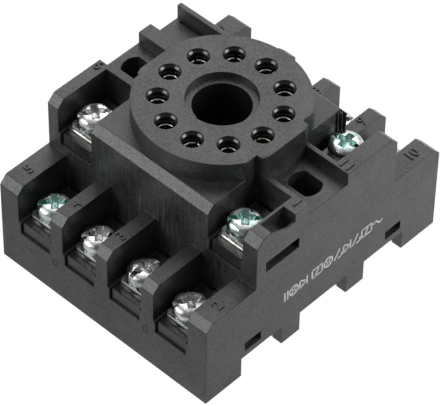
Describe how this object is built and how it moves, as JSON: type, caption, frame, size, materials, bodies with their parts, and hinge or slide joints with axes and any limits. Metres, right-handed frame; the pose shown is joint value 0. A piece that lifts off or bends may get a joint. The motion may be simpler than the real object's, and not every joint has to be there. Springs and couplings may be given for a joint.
{
  "type": "relay socket",
  "caption": "Socket for a plug-in relay: round pin disc with a keyed middle bore above stepped rows of screw terminals, for a rail or a panel.",
  "frame": {"origin": "middle of the underside, at the level the feet stand on", "axes": "+Z out of the pin disc, +X the printed side, -Y the front row of four terminals"},
  "size_m": [0.045, 0.0536, 0.0318],
  "materials": {
    "housing_plastic": "fine-grained dark grey moulding",
    "base_plastic": "dark grey moulding",
    "latch_plastic": "smooth dark grey moulding",
    "plated_brass": "nickel plated brass strip",
    "plated_steel": "bright zinc plated steel",
    "spring_steel": "plated spring steel"
  },
  "bodies": {
    "socket": {"housing": "housing_plastic", "base": "base_plastic", "latch_spring": "spring_steel", "contact_1": "plated_brass", "contact_2": "plated_brass", "contact_3": "plated_brass", "contact_4": "plated_brass", "contact_5": "plated_brass", "contact_6": "plated_brass", "contact_7": "plated_brass", "contact_8": "plated_brass", "contact_9": "plated_brass", "contact_10": "plated_brass", "contact_11": "plated_brass"},
    "latch": {"rail_latch": "latch_plastic"},
    "clamp_1": {"clamp_washer_1": "plated_steel", "spring_washer_1": "spring_steel"},
    "screw_1": {"screw_1": "plated_steel"},
    "clamp_2": {"clamp_washer_2": "plated_steel", "spring_washer_2": "spring_steel"},
    "screw_2": {"screw_2": "plated_steel"},
    "clamp_3": {"clamp_washer_3": "plated_steel", "spring_washer_3": "spring_steel"},
    "screw_3": {"screw_3": "plated_steel"},
    "clamp_4": {"clamp_washer_4": "plated_steel", "spring_washer_4": "spring_steel"},
    "screw_4": {"screw_4": "plated_steel"},
    "clamp_5": {"clamp_washer_5": "plated_steel", "spring_washer_5": "spring_steel"},
    "screw_5": {"screw_5": "plated_steel"},
    "clamp_6": {"clamp_washer_6": "plated_steel", "spring_washer_6": "spring_steel"},
    "screw_6": {"screw_6": "plated_steel"},
    "clamp_7": {"clamp_washer_7": "plated_steel", "spring_washer_7": "spring_steel"},
    "screw_7": {"screw_7": "plated_steel"},
    "clamp_8": {"clamp_washer_8": "plated_steel", "spring_washer_8": "spring_steel"},
    "screw_8": {"screw_8": "plated_steel"},
    "clamp_9": {"clamp_washer_9": "plated_steel", "spring_washer_9": "spring_steel"},
    "screw_9": {"screw_9": "plated_steel"},
    "clamp_10": {"clamp_washer_10": "plated_steel", "spring_washer_10": "spring_steel"},
    "screw_10": {"screw_10": "plated_steel"},
    "clamp_11": {"clamp_washer_11": "plated_steel", "spring_washer_11": "spring_steel"},
    "screw_11": {"screw_11": "plated_steel"}
  },
  "joints": [
    {"name": "latch_slide", "type": "slide", "parent": "socket", "child": "latch", "axis": [0, 1, 0], "range_m": [0, 0.0016], "stiffness_N_per_m": 600, "springref_m": -0.001, "deforming": ["latch_spring"]},
    {"name": "clamp_lift_1", "type": "slide", "parent": "socket", "child": "clamp_1", "axis": [0, 0, 1], "range_m": [0, 0.002]},
    {"name": "screw_turn_1", "type": "hinge", "parent": "clamp_1", "child": "screw_1", "pos_m": [0.01585, -0.0114, 0.02352], "axis": [0, 0, 1], "range_deg": [0, 1440]},
    {"name": "clamp_lift_2", "type": "slide", "parent": "socket", "child": "clamp_2", "axis": [0, 0, 1], "range_m": [0, 0.002]},
    {"name": "screw_turn_2", "type": "hinge", "parent": "clamp_2", "child": "screw_2", "pos_m": [0.01485, -0.02225, 0.01252], "axis": [0, 0, 1], "range_deg": [0, 1440]},
    {"name": "clamp_lift_3", "type": "slide", "parent": "socket", "child": "clamp_3", "axis": [0, 0, 1], "range_m": [0, 0.002]},
    {"name": "screw_turn_3", "type": "hinge", "parent": "clamp_3", "child": "screw_3", "pos_m": [0.00495, -0.02225, 0.01252], "axis": [0, 0, 1], "range_deg": [0, 1440]},
    {"name": "clamp_lift_4", "type": "slide", "parent": "socket", "child": "clamp_4", "axis": [0, 0, 1], "range_m": [0, 0.002]},
    {"name": "screw_turn_4", "type": "hinge", "parent": "clamp_4", "child": "screw_4", "pos_m": [-0.00495, -0.02225, 0.01252], "axis": [0, 0, 1], "range_deg": [0, 1440]},
    {"name": "clamp_lift_5", "type": "slide", "parent": "socket", "child": "clamp_5", "axis": [0, 0, 1], "range_m": [0, 0.002]},
    {"name": "screw_turn_5", "type": "hinge", "parent": "clamp_5", "child": "screw_5", "pos_m": [-0.01485, -0.02225, 0.01252], "axis": [0, 0, 1], "range_deg": [0, 1440]},
    {"name": "clamp_lift_6", "type": "slide", "parent": "socket", "child": "clamp_6", "axis": [0, 0, 1], "range_m": [0, 0.002]},
    {"name": "screw_turn_6", "type": "hinge", "parent": "clamp_6", "child": "screw_6", "pos_m": [-0.01655, -0.0114, 0.02352], "axis": [0, 0, 1], "range_deg": [0, 1440]},
    {"name": "clamp_lift_7", "type": "slide", "parent": "socket", "child": "clamp_7", "axis": [0, 0, 1], "range_m": [0, 0.002]},
    {"name": "screw_turn_7", "type": "hinge", "parent": "clamp_7", "child": "screw_7", "pos_m": [-0.01485, 0.02225, 0.01252], "axis": [0, 0, 1], "range_deg": [0, 1440]},
    {"name": "clamp_lift_8", "type": "slide", "parent": "socket", "child": "clamp_8", "axis": [0, 0, 1], "range_m": [0, 0.002]},
    {"name": "screw_turn_8", "type": "hinge", "parent": "clamp_8", "child": "screw_8", "pos_m": [-0.00495, 0.02225, 0.01252], "axis": [0, 0, 1], "range_deg": [0, 1440]},
    {"name": "clamp_lift_9", "type": "slide", "parent": "socket", "child": "clamp_9", "axis": [0, 0, 1], "range_m": [0, 0.002]},
    {"name": "screw_turn_9", "type": "hinge", "parent": "clamp_9", "child": "screw_9", "pos_m": [0.00495, 0.02225, 0.01252], "axis": [0, 0, 1], "range_deg": [0, 1440]},
    {"name": "clamp_lift_10", "type": "slide", "parent": "socket", "child": "clamp_10", "axis": [0, 0, 1], "range_m": [0, 0.002]},
    {"name": "screw_turn_10", "type": "hinge", "parent": "clamp_10", "child": "screw_10", "pos_m": [0.01485, 0.02225, 0.01252], "axis": [0, 0, 1], "range_deg": [0, 1440]},
    {"name": "clamp_lift_11", "type": "slide", "parent": "socket", "child": "clamp_11", "axis": [0, 0, 1], "range_m": [0, 0.002]},
    {"name": "screw_turn_11", "type": "hinge", "parent": "clamp_11", "child": "screw_11", "pos_m": [0.01585, 0.0114, 0.02352], "axis": [0, 0, 1], "range_deg": [0, 1440]}
  ],
  "couplings": [
    {"joint": "screw_turn_1", "follows": "clamp_lift_1", "rad_per_m": 12566},
    {"joint": "screw_turn_2", "follows": "clamp_lift_2", "rad_per_m": 12566},
    {"joint": "screw_turn_3", "follows": "clamp_lift_3", "rad_per_m": 12566},
    {"joint": "screw_turn_4", "follows": "clamp_lift_4", "rad_per_m": 12566},
    {"joint": "screw_turn_5", "follows": "clamp_lift_5", "rad_per_m": 12566},
    {"joint": "screw_turn_6", "follows": "clamp_lift_6", "rad_per_m": 12566},
    {"joint": "screw_turn_7", "follows": "clamp_lift_7", "rad_per_m": 12566},
    {"joint": "screw_turn_8", "follows": "clamp_lift_8", "rad_per_m": 12566},
    {"joint": "screw_turn_9", "follows": "clamp_lift_9", "rad_per_m": 12566},
    {"joint": "screw_turn_10", "follows": "clamp_lift_10", "rad_per_m": 12566},
    {"joint": "screw_turn_11", "follows": "clamp_lift_11", "rad_per_m": 12566}
  ]
}
